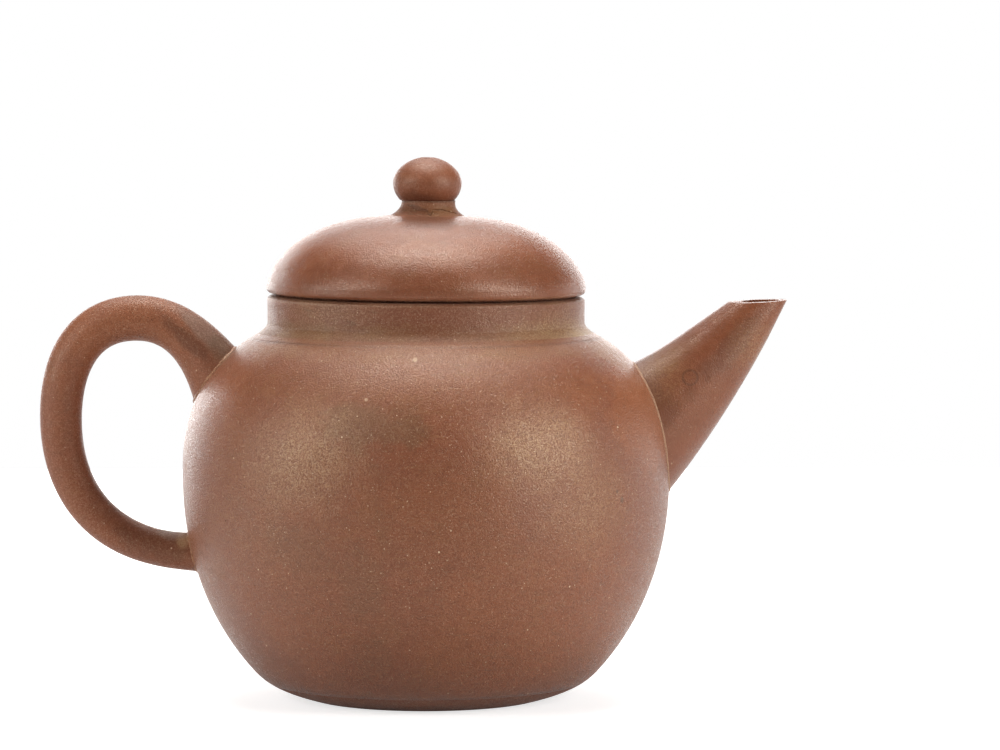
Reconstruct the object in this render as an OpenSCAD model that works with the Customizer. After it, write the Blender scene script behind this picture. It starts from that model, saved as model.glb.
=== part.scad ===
// Round clay teapot, luted together from beaten sheet, rolled and pinched pieces,
// with a loose domed lid. Millimetres. The origin is on the pot's axis in the plane
// it stands on, with +Z up and +X towards the spout.

/* [Body] */
// Radius of the belly at its widest
belly_r = 37.25; // [33:0.05:42]
// Height of the widest place above the table
belly_z = 34.3; // [31:0.1:38]
// Fullness of the curve below the belly, where 2 is an ellipse
lower_n = 2.09; // [1.9:0.01:2.4]
// Fullness of the curve above the belly
upper_n = 2.5; // [2.1:0.05:2.9]
// Height at which the shoulder would reach the neck's radius
shoulder_z = 56.5; // [54:0.1:60]
// Thickness of the beaten wall
wall = 2.4; // [1.8:0.1:3]
// Distance from the neck to the seam between wall and shoulder disc
shoulder_seam_out = 2.4; // [2.3:0.1:5]

/* [Foot] */
// Radius of the flat ring that the pot stands on
foot_r = 18; // [16:0.1:20]
// How far the lower curve is rounded in to that ring
foot_round = 3.3; // [1:0.1:5]
// Height over which it is rounded in
foot_round_h = 4.2; // [2:0.1:7]
// Thickness of the base disc
base_t = 2.5; // [2:0.1:3.5]
// Width of the flat ring, outside the pressed-in middle
foot_ring_w = 4; // [2:0.5:8]
// How deep the middle of the base is pressed in
dish_h = 0.9; // [0.4:0.1:1.2]
// Side of the square, bare impression under the base
stamp_w = 12; // [8:0.5:16]
// Depth of that impression
stamp_h = 0.35; // [0.2:0.05:0.6]

/* [Neck] */
// Outer radius of the neck
neck_r = 24.25; // [22:0.1:26]
// Thickness of the neck, which leaves the mouth
neck_t = 3.7; // [3.2:0.1:5]
// Height of the neck above the shoulder
neck_h = 4.8; // [3.5:0.1:7]
// Reach of the slip smoothed into the corner below the neck
slip_w = 2; // [1:0.1:2.2]
// Height of that slip on the neck
slip_h = 1; // [0.6:0.1:2]
// Chamfer round the rim
rim_chamfer = 0.4; // [0.2:0.05:0.6]

/* [Lid] */
// How far the lid stands out over the neck
lid_over = 0.15; // [0:0.05:1]
// Thickness of the flat plate under the dome
plate_t = 1.7; // [1.4:0.1:3]
// Rounding of the plate's lower edge
plate_round = 0.8; // [0.3:0.1:1.1]
// Open seam round the edge, where lid and neck fall away from each other
seam_gap = 0.3; // [0.15:0.05:0.5]
// Width of the ring on which the lid rests flat on the neck
seat_w = 2.2; // [1.4:0.1:2.6]
// Height of the dome above the plate
dome_h = 10.85; // [8:0.05:14]
// Flatness of the dome across its top, where 2 is an ellipse
dome_top_n = 2.9; // [2:0.1:3.4]
// Fullness of the dome down its side
dome_side_n = 1.5; // [1.4:0.05:2.2]
// Thickness of the dome
dome_t = 2.5; // [1.8:0.1:3]
// Clearance all round between the flange and the mouth
flange_gap = 0.3; // [0.2:0.05:0.6]
// Thickness of the flange
flange_t = 2.3; // [1.6:0.1:3]
// How far the flange reaches down into the neck
flange_h = 5; // [3:0.1:7]
// Draft of the flange towards its lower edge
flange_taper = 0.3; // [0:0.05:0.6]

/* [Knob] */
// Widest radius of the bead
bead_r = 5.25; // [4.7:0.05:7]
// Height of the bead above its collar
bead_h = 6.65; // [5.5:0.05:8]
// Height of the bead's widest place above its collar
bead_wide_h = 2.65; // [1.8:0.05:3.2]
// Fullness of the bead's upper half, below 2 is pointed
bead_n = 1.88; // [1.7:0.02:2.3]
// Radius of the collar under the bead
collar_r = 4.1; // [3:0.05:4.5]
// Radius at which the collar runs out on the dome
collar_foot_r = 5.6; // [5:0.1:8]
// Height of the collar above the top of the dome
collar_h = 2.2; // [1.4:0.05:3.5]
// Radius of the vent pierced down through the knob
vent_r = 0.75; // [0.5:0.05:1]

/* [Spout] */
// Height above the belly at which the spout's axis meets the wall
spout_rise = 9.9; // [7:0.1:12]
// Angle of the spout above the horizontal
spout_angle = 46; // [42:0.1:52]
// Radius of the spout where its axis meets the wall
spout_root_r = 7.65; // [7:0.05:8.4]
// Radius of the spout at its mouth
spout_tip_r = 3; // [2.8:0.01:4]
// Swell of the spout's underside half way along
spout_swell = 0.8; // [0:0.05:1.5]
// How far the mouth lies below the rim of the neck
spout_drop = 0.7; // [0:0.1:3]
// Tilt of the cut mouth, up towards its lip
spout_tilt = 2.5; // [0:0.5:8]
// Thickness of the spout at its mouth
spout_tip_t = 1; // [0.8:0.05:1.3]
// Thickness of the spout at its root
spout_root_t = 2.4; // [1.8:0.1:3]
// How far the upper side is drawn out where it is luted to the wall
spout_flare = 0.8; // [0:0.1:2]
// Length of that drawn-out stretch
spout_flare_len = 8; // [5:0.5:12]

/* [Strainer] */
// Radius of the outlet cut through the wall behind the spout
outlet_r = 4.3; // [3.6:0.1:4.8]
// How much wider the pierced dome over the outlet is inside
strainer_over = 0.7; // [0.6:0.1:1.5]
// Thickness of the pierced dome
strainer_t = 1.2; // [0.8:0.1:1.6]
// Radius of each hole in it
sieve_r = 0.75; // [0.5:0.05:0.8]

/* [Handle] */
// Height above the belly at which the upper root leaves the wall
top_root_rise = 16.2; // [13:0.1:18]
// Heading of the upper root, from the direction of the spout
top_root_heading = 119; // [110:1:130]
// Radius of the upper root inside its slip
top_root_r = 5.9; // [4.5:0.1:6.5]
// Distance of the crown beyond the belly
crown_out = 6.9; // [5:0.1:9]
// Height of the crown above the belly
crown_rise = 23.8; // [21:0.1:27]
// Radius of the coil at the crown
crown_r = 3.48; // [2.8:0.01:4.2]
// Distance of the back beyond the belly
back_out = 18.6; // [15:0.1:22]
// Height of the back above the belly
back_rise = 8.45; // [6:0.05:11]
// Radius of the coil at the back
back_r = 3.2; // [2.6:0.1:4]
// Depth below the belly at which the lower root meets the wall
low_root_drop = 12.1; // [9:0.1:16]
// Heading of the lower root, from the direction of the spout
low_root_heading = -5; // [-15:1:5]
// Radius of the coil before the lower root
low_r = 2.72; // [2.3:0.01:3.4]
// Radius of the lower root inside its slip
low_root_r = 3; // [2.8:0.1:4]

/* [Hidden] */
$fn = 96;

clay = "#83543f";
clay_dark = "#74493a";
clay_olive = "#7d6043";

profile_steps = 48;
dome_steps = 22;
bead_steps = 20;
fillet_steps = 6;
spout_sides = 32;
spout_rings = 14;
// Above 1, the rings stand closer together towards the root
ring_crowding = 1.5;
handle_sides = 24;
handle_span_rings = [14, 14, 20];
beyond = 1;
// How far smoothed-out slip reaches into the face below it, to end there cleanly
slip_bite = 0.12;
// Rows of holes in the strainer: angle from its middle, and how many
sieve_rows = [[0, 1], [32, 6], [60, 12]];

// Curves that pass through the foot's corner and the neck's corner
foot_corner_r = foot_r + foot_round;
lower_h = belly_z / full(foot_corner_r / belly_r, lower_n);
upper_h = (shoulder_z - belly_z) / full(neck_r / belly_r, upper_n);
dish_r = foot_r - foot_ring_w;
shoulder_seam_r = neck_r + shoulder_seam_out;
mouth_r = neck_r - neck_t;
rim_z = shoulder_z + neck_h;
seat_r = mouth_r + seat_w;
lid_r = neck_r + lid_over;
girth_z = rim_z + plate_t;
dome_top = girth_z + dome_h;
bead_z = dome_top + collar_h;
bead_low_h = bead_wide_h / full(collar_r / bead_r, 2);
flange_r = mouth_r - flange_gap;
flange_in_r = flange_r - flange_t;

// Spout frame: where its axis meets the wall, along it, and its upper side
spout_root = [pot_r(belly_z + spout_rise), 0, belly_z + spout_rise];
spout_dir = [cos(spout_angle), 0, sin(spout_angle)];
spout_up = [-sin(spout_angle), 0, cos(spout_angle)];
spout_len = (rim_z - spout_drop - spout_root.z) / sin(spout_angle);
spout_draw = (spout_tip_r - spout_root_r) / spout_len;
mouth_normal = [-sin(spout_tilt), 0, cos(spout_tilt)];
// The root's ring leans with the wall and lies a little inside it
root_lean = 0.7 * spout_root_r;
root_sink = 0.55 * spout_root_r;
bore_root_r = spout_root_r - spout_root_t;
bore_tip_r = spout_tip_r - spout_tip_t;
bore_draw = (bore_tip_r - bore_root_r) / spout_len;
outlet_in = 8;
outlet_out = 3;
strainer_r = outlet_r + strainer_over;
wall_lean = atan2(pot_r(spout_root.z - beyond) - pot_r(spout_root.z + beyond), 2 * beyond);

// Handle: its middle line runs root, crown, back, root, with a pull at each point
top_root_sink = 5.15;
low_root_sink = 3;
low_root_lead = 1.75;
crown = [-(belly_r + crown_out), belly_z + crown_rise];
back = [-(belly_r + back_out), belly_z + back_rise];
top_root = wall_point(belly_z + top_root_rise) - top_root_sink * heading(top_root_heading);
low_wall = wall_point(belly_z - low_root_drop);
low_root = low_wall - low_root_lead * heading(low_root_heading);
low_end = low_wall + low_root_sink * heading(low_root_heading);
top_root_pull = 6.6;
crown_pull = [7.4, 8.3];
back_pull = [8.45, 11.45];
low_root_pull = 11.85;
top_root_ease = 2.5;
low_root_ease = 0.82;

// Share of a superellipse's height at a share x of its radius
function full(x, n) = pow(1 - pow(x, n), 1 / n);

// Point of a superellipse with half width r and half height h, at a polar angle
function superellipse(a, r, h, n) =
    let (d = pow(pow(abs(cos(a)) / r, n) + pow(abs(sin(a)) / h, n), -1 / n))
    [d * cos(a), d * sin(a)];

// Radius of the pot's outside at a height
function pot_r(z) =
    z > belly_z ? belly_r * full((z - belly_z) / upper_h, upper_n)
                : belly_r * full((belly_z - z) / lower_h, lower_n) - foot_in(z);
function pot_z(r) = belly_z + upper_h * full(r / belly_r, upper_n);
function foot_in(z) = z < foot_round_h ? foot_round * pow(1 - z / foot_round_h, 2) : 0;

// Half outline from the axis below to the axis above, t inside the outside curve
function pot_curve(t, from_z) =
    let (start = atan2(from_z - belly_z, (belly_r - t) * full((belly_z - from_z) / (lower_h - t), lower_n)))
    [for (i = [0:profile_steps])
        let (a = start + (90 - start) * i / profile_steps,
             up = a > 0,
             p = superellipse(a, belly_r - t, (up ? upper_h : lower_h) - t, up ? upper_n : lower_n))
        [p.x, belly_z + p.y]];

function heading(a) = [cos(a), sin(a)];
function wall_point(z) = [-pot_r(z), z];
function bezier(p, t) =
    pow(1 - t, 3) * p[0] + 3 * pow(1 - t, 2) * t * p[1]
    + 3 * (1 - t) * t * t * p[2] + t * t * t * p[3];
function bezier_dir(p, t) =
    let (d = pow(1 - t, 2) * (p[1] - p[0]) + 2 * (1 - t) * t * (p[2] - p[1]) + t * t * (p[3] - p[2]))
    d / norm(d);
function mix(a, b, t) = a + (b - a) * t;
function curve3(p, q, r, t) = mix(mix(p, q, t), mix(q, r, t), t);

module pot_outline() {
    polygon(concat([[0, 0]],
                   [for (p = pot_curve(0, 0)) [max(0, p.x - foot_in(p.y)), p.y]]));
}

module pot_hollow() {
    polygon(concat([[0, base_t]], pot_curve(wall, base_t)));
}

module pot_shell() {
    difference() {
        pot_outline();
        pot_hollow();
    }
}

// Solid between rings of points, closed at both ends
module skin(rings) {
    n = len(rings[0]);
    last = (len(rings) - 1) * n;
    polyhedron(
        points = [for (r = rings) each r],
        faces = concat(
            [[for (i = [0:n - 1]) i]],
            [for (j = [0:len(rings) - 2], i = [0:n - 1])
                let (k = (i + 1) % n) [j * n + i, (j + 1) * n + i, (j + 1) * n + k]],
            [for (j = [0:len(rings) - 2], i = [0:n - 1])
                let (k = (i + 1) % n) [j * n + i, (j + 1) * n + k, j * n + k]],
            [[for (i = [0:n - 1]) last + n - 1 - i]]));
}

module body_wall() {
    color(clay)
    difference() {
        rotate_extrude()
            difference() {
                pot_shell();
                square([belly_r, base_t]);
                translate([0, belly_z]) square([shoulder_seam_r, upper_h + beyond]);
            }
        translate(spout_root)
            rotate([0, 90 - spout_angle, 0])
            translate([0, 0, -outlet_in])
            cylinder(h = outlet_in + outlet_out, r = outlet_r);
    }
}

// The base: a flat disc, its middle pressed in, with a bare square impression
module base_disc() {
    color(clay_dark)
    difference() {
        rotate_extrude()
            difference() {
                intersection() {
                    pot_outline();
                    square([belly_r, base_t]);
                }
                polygon(concat([[0, 0]],
                               [for (i = [0:fillet_steps])
                                   let (r = dish_r * (1 - i / fillet_steps))
                                   [r, dish_h * (1 - pow(r / dish_r, 2))]]));
            }
        translate([-stamp_w / 2, -stamp_w / 2, -beyond])
            cube([stamp_w, stamp_w, beyond + dish_h + stamp_h]);
    }
}

module shoulder_disc() {
    color(clay)
    rotate_extrude()
        intersection() {
            pot_shell();
            translate([mouth_r, belly_z]) square([shoulder_seam_r - mouth_r, upper_h]);
        }
}

// The neck stands on the shoulder, with slip smoothed into the corner
module neck_ring() {
    slip_r = neck_r + slip_w;
    slope = (pot_z(slip_r - beyond) - pot_z(slip_r + beyond)) / (2 * beyond);
    slip_foot = [slip_r, pot_z(slip_r) - slip_bite];
    slip_corner = [neck_r, slip_foot.y + slope * slip_w];
    slip_head = [neck_r, shoulder_z + slip_h];
    color(clay)
    rotate_extrude()
        difference() {
            polygon(concat(
                [[mouth_r, belly_z], [mouth_r, rim_z - rim_chamfer / 2], [mouth_r + rim_chamfer / 2, rim_z],
                 [seat_r, rim_z], [neck_r - rim_chamfer, rim_z - seam_gap / 2], [neck_r, rim_z - rim_chamfer]],
                [for (i = [0:fillet_steps]) curve3(slip_head, slip_corner, slip_foot, i / fillet_steps)],
                [[slip_foot.x, belly_z]]));
            pot_outline();
        }
}

// How far along the axis the mouth cuts the cone's line that lies towards p
function mouth_at(p) =
    (spout_len * (mouth_normal * spout_dir) - spout_root_r * (mouth_normal * p))
    / (mouth_normal * spout_dir + spout_draw * (mouth_normal * p));

// Point of the spout at angle a from its upper side, t of the way from root to mouth
function spout_point(a, t) =
    let (p = spout_up * cos(a) + [0, 1, 0] * sin(a),
         root = root_lean * cos(a) - root_sink,
         share = pow(t, ring_crowding),
         along = mix(root, mouth_at(p), share),
         near = max(0, 1 - (along - root) / spout_flare_len),
         upper = (1 + cos(a)) / 2,
         drawn = spout_flare * pow(near, 2) * upper,
         swell = spout_swell * sin(180 * share) * (1 - upper))
    spout_root + spout_dir * along + p * (spout_root_r + spout_draw * along + drawn + swell);

// The spout: a drawn cone, lofted from its level mouth to a root that is cut
// to the wall's own curve
module spout() {
    bore_from = -2 * root_sink;
    bore_to = spout_len + 2 * spout_tip_r;
    color(clay)
    difference() {
        skin([for (i = [0:spout_rings])
                 [for (j = [0:spout_sides - 1])
                     spout_point(360 * j / spout_sides, i / spout_rings)]]);
        rotate_extrude() pot_outline();
        translate(spout_root)
            rotate([0, 90 - spout_angle, 0])
            translate([0, 0, bore_from])
            cylinder(h = bore_to - bore_from,
                     r1 = bore_root_r + bore_draw * bore_from,
                     r2 = bore_root_r + bore_draw * bore_to);
    }
}

// A small pierced dome inside the wall, over the outlet
module strainer() {
    reach = strainer_r + strainer_t + beyond;
    middle = spout_root - spout_dir * wall / cos(spout_angle - wall_lean);
    color(clay_dark)
    difference() {
        intersection() {
            translate(middle)
                difference() {
                    sphere(r = strainer_r + strainer_t);
                    sphere(r = strainer_r);
                }
            rotate_extrude()
                intersection() {
                    pot_hollow();
                    translate([middle.x - reach, middle.z - reach]) square(2 * reach);
                }
        }
        translate(middle)
            rotate([0, 90 - wall_lean, 0])
            for (row = sieve_rows, i = [0:row[1] - 1])
                rotate([0, row[0], 360 * i / row[1]])
                mirror([0, 0, 1])
                translate([0, 0, strainer_r - beyond])
                cylinder(h = reach - strainer_r + beyond, r = sieve_r, $fn = 24);
    }
}

function handle_ring(c, d, r) =
    let (side = [-d.y, d.x])
    [for (i = [0:handle_sides - 1])
        let (a = 360 * i / handle_sides)
        [c.x + side.x * r * cos(a), r * sin(a), c.y + side.y * r * cos(a)]];

function handle_span(p, r, rings, from) =
    [for (i = [from:rings])
        let (t = i / rings)
        handle_ring(bezier(p, t), bezier_dir(p, t), r(t))];

// The handle: one rolled coil, thinner towards its lower end, bent to an ear
// and spread where it is luted to the wall
module handle() {
    upper = [top_root, top_root + top_root_pull * heading(top_root_heading),
             crown + [crown_pull[0], 0], crown];
    middle = [crown, crown - [crown_pull[1], 0], back + [0, back_pull[0]], back];
    lower = [back, back - [0, back_pull[1]],
             low_root - low_root_pull * heading(low_root_heading), low_root];
    upper_r = function (t) mix(crown_r, top_root_r, pow(1 - t, top_root_ease));
    middle_r = function (t) mix(crown_r, back_r, t);
    lower_r = function (t) mix(back_r, low_r, t)
        + (low_root_r - low_r) / 2 * pow(max(0, t - low_root_ease) / (1 - low_root_ease), 2);
    color(clay)
    difference() {
        skin(concat(
            handle_span(upper, upper_r, handle_span_rings[0], 0),
            handle_span(middle, middle_r, handle_span_rings[1], 1),
            handle_span(lower, lower_r, handle_span_rings[2], 1),
            [handle_ring(low_end, heading(low_root_heading), low_root_r)]));
        rotate_extrude() pot_outline();
    }
}

// Half outline of the dome, t inside its outside
module dome_outline(t) {
    polygon(concat([[0, girth_z]],
                   [for (i = [0:dome_steps])
                       let (a = 90 * i / dome_steps)
                       [(lid_r - t) * pow(cos(a), 2 / dome_top_n),
                        girth_z + (dome_h - t) * pow(sin(a), 2 / dome_side_n)]]));
}

module vent() {
    translate([0, 0, girth_z]) cylinder(h = bead_z + bead_h, r = vent_r, $fn = 24);
}

module lid_dome() {
    color(clay)
    difference() {
        rotate_extrude()
            difference() {
                dome_outline(0);
                dome_outline(dome_t);
            }
        vent();
    }
}

// The plate closes the dome's edge and carries the lid on the neck
module lid_plate() {
    edge_z = rim_z + seam_gap;
    color(clay)
    rotate_extrude()
        polygon(concat(
            [[flange_in_r, girth_z], [flange_in_r, rim_z], [seat_r, rim_z]],
            [for (i = [0:fillet_steps])
                let (a = 90 * i / fillet_steps - 90)
                [lid_r - plate_round * (1 - cos(a)), edge_z + plate_round * (1 + sin(a))]],
            [[lid_r, girth_z]]));
}

module lid_flange() {
    low_z = rim_z - flange_h;
    edge = flange_t / 4;
    color(clay_dark)
    rotate_extrude()
        polygon([[flange_in_r, rim_z], [flange_in_r, low_z + edge], [flange_in_r + edge, low_z],
                 [flange_r - flange_taper - edge, low_z], [flange_r - flange_taper, low_z + edge],
                 [flange_r, rim_z]]);
}

module knob_collar() {
    foot = [collar_foot_r, dome_top];
    head = [collar_r, bead_z];
    waist = [collar_r, dome_top + collar_h / 4];
    color(clay_olive)
    difference() {
        rotate_extrude()
            difference() {
                polygon(concat([[0, girth_z + dome_h / 2]],
                               [[collar_foot_r, girth_z + dome_h / 2]],
                               [for (i = [0:fillet_steps]) curve3(foot, waist, head, i / fillet_steps)],
                               [[0, bead_z]]));
                dome_outline(0);
            }
        vent();
    }
}

// The bead: a rolled ball, pinched in at its collar and drawn up a little at the top
module knob() {
    wide_z = bead_z + bead_wide_h;
    color(clay)
    difference() {
        rotate_extrude()
            intersection() {
                polygon([for (i = [0:bead_steps])
                            let (a = 180 * i / bead_steps - 90,
                                 up = a > 0,
                                 p = superellipse(a, bead_r, up ? bead_h - bead_wide_h : bead_low_h,
                                                  up ? bead_n : 2))
                            [max(0, p.x), wide_z + p.y]]);
                translate([0, bead_z]) square([bead_r + beyond, bead_h + beyond]);
            }
        vent();
    }
}

body_wall();
base_disc();
shoulder_disc();
neck_ring();
spout();
strainer();
handle();
lid_dome();
lid_plate();
lid_flange();
knob_collar();
knob();
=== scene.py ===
"""Round clay teapot with a loose domed lid: its pieces in fired clay."""

from math import atan2, cos, hypot, pi, radians, sin, tan

import bmesh
import bpy
from bpy.props import FloatProperty, FloatVectorProperty, IntProperty, PointerProperty
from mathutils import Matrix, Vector


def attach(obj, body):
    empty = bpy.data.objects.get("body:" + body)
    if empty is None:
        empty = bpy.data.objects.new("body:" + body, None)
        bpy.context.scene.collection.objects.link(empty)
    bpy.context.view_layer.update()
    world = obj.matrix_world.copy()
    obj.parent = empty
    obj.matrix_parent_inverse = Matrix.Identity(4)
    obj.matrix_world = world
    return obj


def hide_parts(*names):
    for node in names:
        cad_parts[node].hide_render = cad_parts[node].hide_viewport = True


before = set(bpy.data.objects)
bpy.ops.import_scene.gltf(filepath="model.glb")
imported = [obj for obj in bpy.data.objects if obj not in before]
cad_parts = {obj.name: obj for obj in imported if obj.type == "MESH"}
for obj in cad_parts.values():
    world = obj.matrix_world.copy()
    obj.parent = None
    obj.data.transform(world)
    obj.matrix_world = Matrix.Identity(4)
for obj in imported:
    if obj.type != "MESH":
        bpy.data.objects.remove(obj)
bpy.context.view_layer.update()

bl_info = {
    "name": "Clay teapot",
    "version": (1, 0, 0),
    "blender": (4, 5, 0),
    "location": "3D View > Sidebar > Teapot",
    "description": "Turns, bends and lutes the pieces of a round clay teapot",
    "category": "Add Mesh",
}

MM = 0.001


def length(name, text, value):
    """A size that a user may change, given in millimetres."""
    return FloatProperty(
        name=name, description=text, default=value * MM, unit="LENGTH", precision=5
    )


def ratio(name, text, value):
    """A plain number that a user may change."""
    return FloatProperty(name=name, description=text, default=value, precision=3)


def tilt(name, text, value):
    """An angle that a user may change, in radians."""
    return FloatProperty(name=name, description=text, default=value, subtype="ANGLE")


def tone(name, text, value):
    """A clay or light colour that a user may change."""
    return FloatVectorProperty(
        name=name, description=text, default=value, subtype="COLOR", min=0, max=1
    )


class PotSizes(bpy.types.PropertyGroup):
    """Sizes of the body, its base, shoulder and neck."""

    belly_r: length("Belly radius", "Radius at the widest place", 37.25)
    belly_z: length("Belly height", "Height of the widest place", 34.3)
    lower_n: ratio("Lower fullness", "Curve below the belly, 2 is an ellipse", 2.09)
    upper_n: ratio("Upper fullness", "Curve above the belly, 2 is an ellipse", 2.5)
    shoulder_z: length("Shoulder height", "Where the shoulder meets the neck", 56.5)
    wall: length("Wall", "Thickness of the beaten wall", 2.4)
    seam_r: length("Shoulder seam", "Radius of the seam round the shoulder", 26.65)
    foot_r: length("Foot radius", "Radius of the flat ring it stands on", 18)
    foot_round: length("Foot rounding", "How far the foot is rounded in", 3.8)
    foot_round_h: length("Foot rounding height", "Height of that rounding", 4.6)
    base_t: length("Base", "Thickness of the base disc", 2.5)
    dish_r: length("Pressed middle", "Radius of the pressed-in middle", 14)
    dish_h: length("Pressed depth", "Depth of the pressed-in middle", 0.9)
    stamp_w: length("Impression", "Side of the square, bare impression", 12)
    stamp_h: length("Impression depth", "Depth of that impression", 0.35)
    neck_r: length("Neck radius", "Outer radius of the neck", 24.25)
    mouth_r: length("Mouth radius", "Inner radius of the neck", 20.55)
    rim_z: length("Rim height", "Height of the rim on which the lid lies", 61.52)
    slip_w: length("Slip reach", "Reach of the slip below the neck", 2)
    slip_h: length("Slip height", "Height of that slip on the neck", 1)
    outlet_r: length("Outlet radius", "Hole in the wall behind the spout", 4.3)


class LidSizes(bpy.types.PropertyGroup):
    """Sizes of the lid and its knob."""

    lid_r: length("Lid radius", "Radius of the lid's edge", 24.4)
    seat_r: length("Seat radius", "Outer radius of the ring on the neck", 22.75)
    seam_gap: length("Seam", "Open seam round the edge", 0.3)
    girth_z: length("Dome foot", "Height at which the dome starts", 63.22)
    dome_h: length("Dome height", "Height of the dome above its foot", 10.63)
    dome_top_n: ratio("Dome top", "Flatness across the top, 2 is an ellipse", 2.9)
    dome_side_n: ratio("Dome side", "Fullness down the side, 2 is an ellipse", 1.5)
    dome_t: length("Dome", "Thickness of the dome", 2.5)
    plate_round: length("Plate rounding", "Rounding of the lid's lower edge", 0.8)
    flange_r: length("Flange radius", "Radius of the flange in the mouth", 20.25)
    flange_in_r: length("Flange inside", "Inner radius of the flange", 17.95)
    flange_h: length("Flange depth", "How far the flange reaches down", 5)
    collar_r: length("Collar radius", "Radius of the collar under the bead", 4.1)
    collar_foot_r: length("Collar foot", "Where the collar runs out", 5.6)
    collar_h: length("Collar height", "Height of the collar above the dome", 2.2)
    bead_r: length("Bead radius", "Widest radius of the bead", 5.25)
    bead_h: length("Bead height", "Height of the bead above its collar", 6.65)
    bead_wide_h: length("Bead middle", "Height of its widest place", 2.65)
    bead_n: ratio("Bead top", "Fullness of its upper half", 1.88)
    vent_r: length("Vent radius", "Radius of the vent through the knob", 0.75)
    slant: tilt("Slant", "How far rim and lid have settled on the spout's side", 0.008)


class SpoutSizes(bpy.types.PropertyGroup):
    """Sizes of the spout, along and across its axis."""

    rise: length("Root height", "Height of the root above the belly", 9.9)
    angle: tilt("Slant", "Angle above the horizontal", radians(46.4))
    root_r: length("Root radius", "Radius where the axis meets the wall", 7.65)
    tip_r: length("Tip radius", "Radius at the mouth", 3)
    swell: length("Swell", "Swell of the underside half way", 1.2)
    flare: length("Flare", "How far the upper side is drawn out at the root", 0.8)
    flare_len: length("Flare length", "Length of that drawn-out stretch", 8)
    mouth_z: length("Mouth height", "Height at which the mouth is cut", 60.6)
    mouth_tilt: tilt("Mouth tilt", "Tilt of the cut, up towards the lip", radians(2.5))
    bore_root_r: length("Bore at the root", "Radius of the bore at the root", 5.25)
    bore_tip_r: length("Bore at the tip", "Radius of the bore at the mouth", 2)


class HandleSizes(bpy.types.PropertyGroup):
    """Sizes of the coil that is bent into the handle."""

    top_rise: length("Upper root", "Height of the upper root above the belly", 16.2)
    top_way: tilt("Upper heading", "Way the coil leaves the wall", radians(119))
    top_sink: length("Upper root sink", "How deep the upper end is set", 5.15)
    top_r: length("Upper root radius", "Radius of the upper end", 5.9)
    top_pull: length("Upper pull", "How far the coil keeps to that way", 6.6)
    crown_out: length("Crown reach", "Crown's distance beyond the belly", 6.9)
    crown_rise: length("Crown height", "Crown's height above the belly", 23.8)
    crown_r: length("Crown radius", "Radius of the coil at the crown", 3.48)
    crown_in: length("Crown inner pull", "How flat the crown runs inwards", 7.4)
    crown_on: length("Crown outer pull", "How flat the crown runs outwards", 8.3)
    back_out: length("Back reach", "Back's distance beyond the belly", 18.6)
    back_rise: length("Back height", "Back's height above the belly", 8.45)
    back_r: length("Back radius", "Radius of the coil at the back", 3.2)
    back_up: length("Back upper pull", "How upright the back runs up", 8.45)
    back_down: length("Back lower pull", "How upright the back runs down", 11.45)
    low_drop: length("Lower root", "Depth of the lower root below the belly", 12.1)
    low_way: tilt("Lower heading", "Way the coil enters the wall", radians(-5))
    low_pull: length("Lower pull", "How far the coil keeps to that way", 11.85)
    low_lead: length("Lower lead", "Straight run before the lower root", 1.75)
    low_sink: length("Lower root sink", "How deep the lower end is set", 3)
    low_r: length("Lower radius", "Radius of the coil at the lower end", 2.72)
    low_end_r: length("Lower root radius", "Radius of the lower end itself", 3)


class ClayLooks(bpy.types.PropertyGroup):
    """Colours and finish of the fired clay, its slip and the stage."""

    red: tone("Red clay", "Main colour of the fired clay", (0.188, 0.053, 0.0222))
    orange: tone("Orange clay", "Where the clay fired warmer", (0.244, 0.072, 0.0240))
    khaki: tone("Khaki patina", "Tea-stained, sandy patches", (0.216, 0.091, 0.0305))
    olive: tone("Olive patina", "Grey-olive, at the joints", (0.112, 0.062, 0.029))
    # Also the colour of painted shade in creases, under the bead, on the belly's and
    # spout's fronts and round the dome, and of the knob's painted reflection on the lid
    dark: tone("Dark clay", "Creases, pits and the inside", (0.078, 0.023, 0.010))
    sand: tone("Sand", "Pale grains in the clay", (0.62, 0.445, 0.29))
    ash: tone("Ash patina", "Grey bloom on the handle's roots", (0.20, 0.118, 0.085))
    # Gold dust; also the painted sheen that the dust patches give where the highlights
    # fall
    gold: tone("Gold dust", "Warm dust on the burnished skin", (0.44, 0.275, 0.135))
    slip: tone("Slip", "Pale slip squeezed from a joint", (0.40, 0.25, 0.15))
    ground: tone("Floor", "Colour of the floor", (0.62, 0.61, 0.60))
    gloss: ratio("Roughness", "Roughness of the burnished clay", 0.335)
    grain: length("Grain height", "Height of the sandy grain", 0.044)
    sides: IntProperty(name="Sides", description="Sides of a turned piece", default=192)


GROUPS = {
    "teapot_pot": PotSizes,
    "teapot_lid": LidSizes,
    "teapot_spout": SpoutSizes,
    "teapot_handle": HandleSizes,
    "teapot_looks": ClayLooks,
}


# ---------------------------------------------------------------- outlines


def steps(first, last, count):
    """Evenly spaced numbers, both ends among them."""
    return [first + (last - first) * i / count for i in range(count + 1)]


def full(x, n):
    """Share of a superellipse's height at a share x of its radius."""
    return max(0.0, 1 - abs(x) ** n) ** (1 / n)


def oval_point(a, r, h, n):
    """Point of a superellipse with half width r and half height h, at a polar angle."""
    c, s = cos(a), sin(a)
    d = ((abs(c) / r) ** n + (abs(s) / h) ** n) ** (-1 / n)
    return d * c, d * s


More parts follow.
